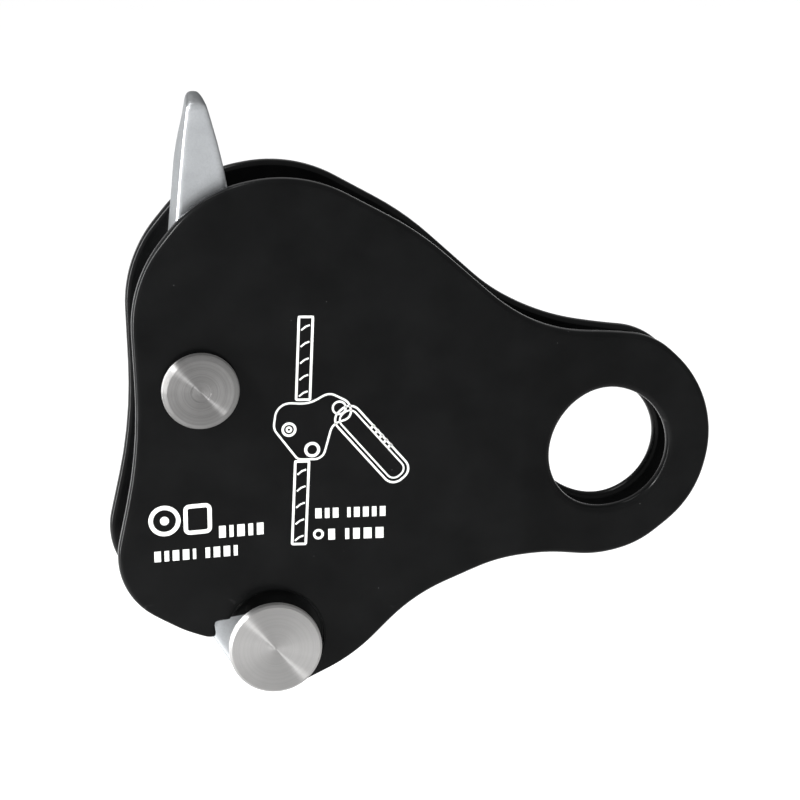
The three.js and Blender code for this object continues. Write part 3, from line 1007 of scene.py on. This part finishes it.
def hoop(name, node, inner, at, material, slot, body):
    """A washer or tube with softened edges, the size of its CAD node."""
    low, high = y_span(node)
    outer = radius_of(node)
    soft = min(0.25, (high - low) * 0.3)
    profile = [(inner, (low + high) / 2), (inner, low, soft), (outer, low, soft),
               (outer, high, soft), (inner, high, soft), (inner, (low + high) / 2)]
    lathe(name, profile, at, material, body, slot, node, segments=96)


def pivot_pieces():
    """The main rivet with its turned head and peened tail, and what it carries."""
    low, high = y_span("pivot_pin")
    under = y_span("pivot_front_washer")[0] - CLEARANCE
    tail = y_span("pivot_rear_washer")[1] + CLEARANCE
    r = radius_of("pivot_pin")
    lathe("main_rivet", [
        (0, low + 0.05), (1.9, low + 0.05, 0.3), (2.05, low, 0.1), (r - 1.05, low, 0.5),
        (r - 0.1, low + 0.45, 0.3), (r, low + 0.9, 0.3), (r, under, 0.15), (SHANK, under),
        (SHANK, tail), (6.0, tail, 0.2), (5.6, tail + 1.1, 0.7), (4.0, high, 1.2),
        (2.4, high - 0.05, 0.3), (1.9, high - 0.35, 0.3), (0, high - 0.4),
    ], (0, 0), RIVET_STEEL, "frame", "turned_steel", "pivot_pin")
    for name, node, bore, material, slot in (
        ("rivet_front_washer", "pivot_front_washer", SHANK_BORE, PLAIN_STEEL, "turned_steel"),
        ("rivet_rear_washer", "pivot_rear_washer", SHANK_BORE, PLAIN_STEEL, "turned_steel"),
        ("sleeve_tube", "pivot_sleeve", SHANK_BORE, PLAIN_STEEL, "turned_steel"),
        ("nylon_washer_front", "thrust_washer_front", SLEEVE_BORE, NYLON, "nylon"),
        ("nylon_washer_rear", "thrust_washer_rear", SLEEVE_BORE, NYLON, "nylon"),
    ):
        hoop(name, node, bore, (0, 0), material, slot, "frame")


def lock_pieces():
    """The lock axle with its sleeve, washer and peened tail, and the knob on its stud."""
    low, high = y_span("lock_axle")
    tail = y_span("axle_rear_washer")[1] + CLEARANCE
    shoulder = y_span("anvil_sleeve")[0]
    lathe("lock_stud", [
        (0, low), (1.7, low, 0.1), (STUD_NECK, low + 0.4, 0.2), (STUD_NECK, shoulder),
        (STUD_CORE, shoulder, 0.2), (STUD_CORE, tail), (5.4, tail, 0.2), (5.0, tail + 1.0, 0.6),
        (3.6, high, 1.0), (2.2, high - 0.05, 0.3), (1.7, high - 0.3, 0.3), (0, high - 0.35),
    ], LOCK, PLAIN_STEEL, "frame", "turned_steel", "lock_axle", segments=96)
    hoop("anvil_tube", "anvil_sleeve", STUD_BORE, LOCK, PLAIN_STEEL, "turned_steel", "frame")
    hoop("stud_rear_washer", "axle_rear_washer", STUD_BORE, LOCK, PLAIN_STEEL, "turned_steel", "frame")
    hoop("friction_ring", "knob_friction_ring", RING_BORE, LOCK, NYLON, "nylon", "knob_carrier")
    top, end = y_span("lock_knob")
    ring_seat = y_span("knob_friction_ring")[0] - CLEARANCE
    under = end - COLLAR_HIGH
    r = radius_of("lock_knob")
    lathe("turned_knob", [
        (0, top), (r - 0.45, top, 0.25), (r, top + 0.45, 0.3), (r, top + DISC - 0.4, 0.3),
        (r - 0.4, top + DISC, 0.3), (HUB_R, top + DISC, 0.3), (HUB_R, under, 0.3),
        (COLLAR_R, under, 0.2), (COLLAR_R, end, 0.2), (COLLAR_BORE, end), (COLLAR_BORE, ring_seat),
        (RING_BORE, ring_seat), (RING_BORE, top + CAP), (0, top + CAP),
    ], LOCK, KNOB_STEEL, "knob", "turned_steel", "lock_knob", segments=200)


# ---- stage, light and camera ---------------------------------------------------------------------


SOFTBOXES = [                       # name, place, width, height and watts; metres, like the model
    ("streak", (-0.78, -0.32, 0.5), 0.15, 0.15, 9),
    ("key", (-0.98, -0.12, 0.12), 0.25, 0.75, 26),
]
LIT_POINT = Vector((-0.03, 0, 0))   # what the softboxes face
FLOOR_HALF, FLOOR_Z = 8.0, -0.3
WORLD_FRONT, WORLD_BACK = 0.95, 0.4    # strength of the studio's light before and behind


def softbox(name, at, wide, high, watts):
    light = bpy.data.lights.new(name, "AREA")
    light.shape = "RECTANGLE"
    light.size, light.size_y = wide, high
    light.energy = watts
    obj = bpy.data.objects.new(name, light)
    bpy.context.scene.collection.objects.link(obj)
    obj.location = at
    obj.rotation_euler = (LIT_POINT - Vector(at)).to_track_quat("-Z", "Y").to_euler()


def stage():
    mesh = bpy.data.meshes.new("floor")
    corners = [(x * FLOOR_HALF, y * FLOOR_HALF, FLOOR_Z)
               for x, y in ((-1, -1), (1, -1), (1, 1), (-1, 1))]
    mesh.from_pydata(corners, [], [(0, 1, 2, 3)])
    mesh.materials.append(pale_stage("pale_floor", 0.9))
    floor = bpy.data.objects.new("floor", mesh)
    bpy.context.scene.collection.objects.link(floor)
    studio_world()
    for box in SOFTBOXES:
        softbox(*box)
    sun = bpy.data.lights.new("overhead", "SUN")
    sun.energy = 1.5
    sun.angle = math.radians(25)
    overhead = bpy.data.objects.new("overhead", sun)
    overhead.rotation_euler = (math.radians(-18), math.radians(-20), 0)
    bpy.context.scene.collection.objects.link(overhead)
    bpy.context.scene.view_settings.view_transform = "Standard"


def studio_world():
    """A pale studio that is brighter on the front side than behind the object."""
    world = bpy.data.worlds.new("studio")
    world.use_nodes = True
    tree = world.node_tree
    background = tree.nodes["Background"]
    background.inputs["Color"].default_value = (1, 1, 1, 1)
    coords = tree.nodes.new("ShaderNodeTexCoord")
    axes = tree.nodes.new("ShaderNodeSeparateXYZ")
    shade = tree.nodes.new("ShaderNodeMapRange")
    tree.links.new(coords.outputs["Generated"], axes.inputs[0])
    tree.links.new(axes.outputs["Y"], shade.inputs["Value"])
    ramp = {"From Min": -0.4, "From Max": 0.5, "To Min": WORLD_FRONT, "To Max": WORLD_BACK}
    for socket, value in ramp.items():
        shade.inputs[socket].default_value = value
    tree.links.new(shade.outputs["Result"], background.inputs["Strength"])
    bpy.context.scene.world = world


def camera():
    """A long lens in front, a little to the left of the device and above it."""
    data = bpy.data.cameras.new("camera")
    data.sensor_width = 36.0
    data.lens = 119.4
    obj = bpy.data.objects.new("camera", data)
    bpy.context.scene.collection.objects.link(obj)
    obj.location = row(-44.6, -509.0, 148.2)
    obj.rotation_euler = (math.radians(90 - 16.8), 0, math.radians(-9.62))
    bpy.context.scene.camera = obj


cheek("rear_plate", "frame", front=False)
cheek("front_plate", "front_cheek", front=True)
rope_shoe()
torsion_spring()
pivot_pieces()
lock_pieces()
printed_marks()
stage()
camera()
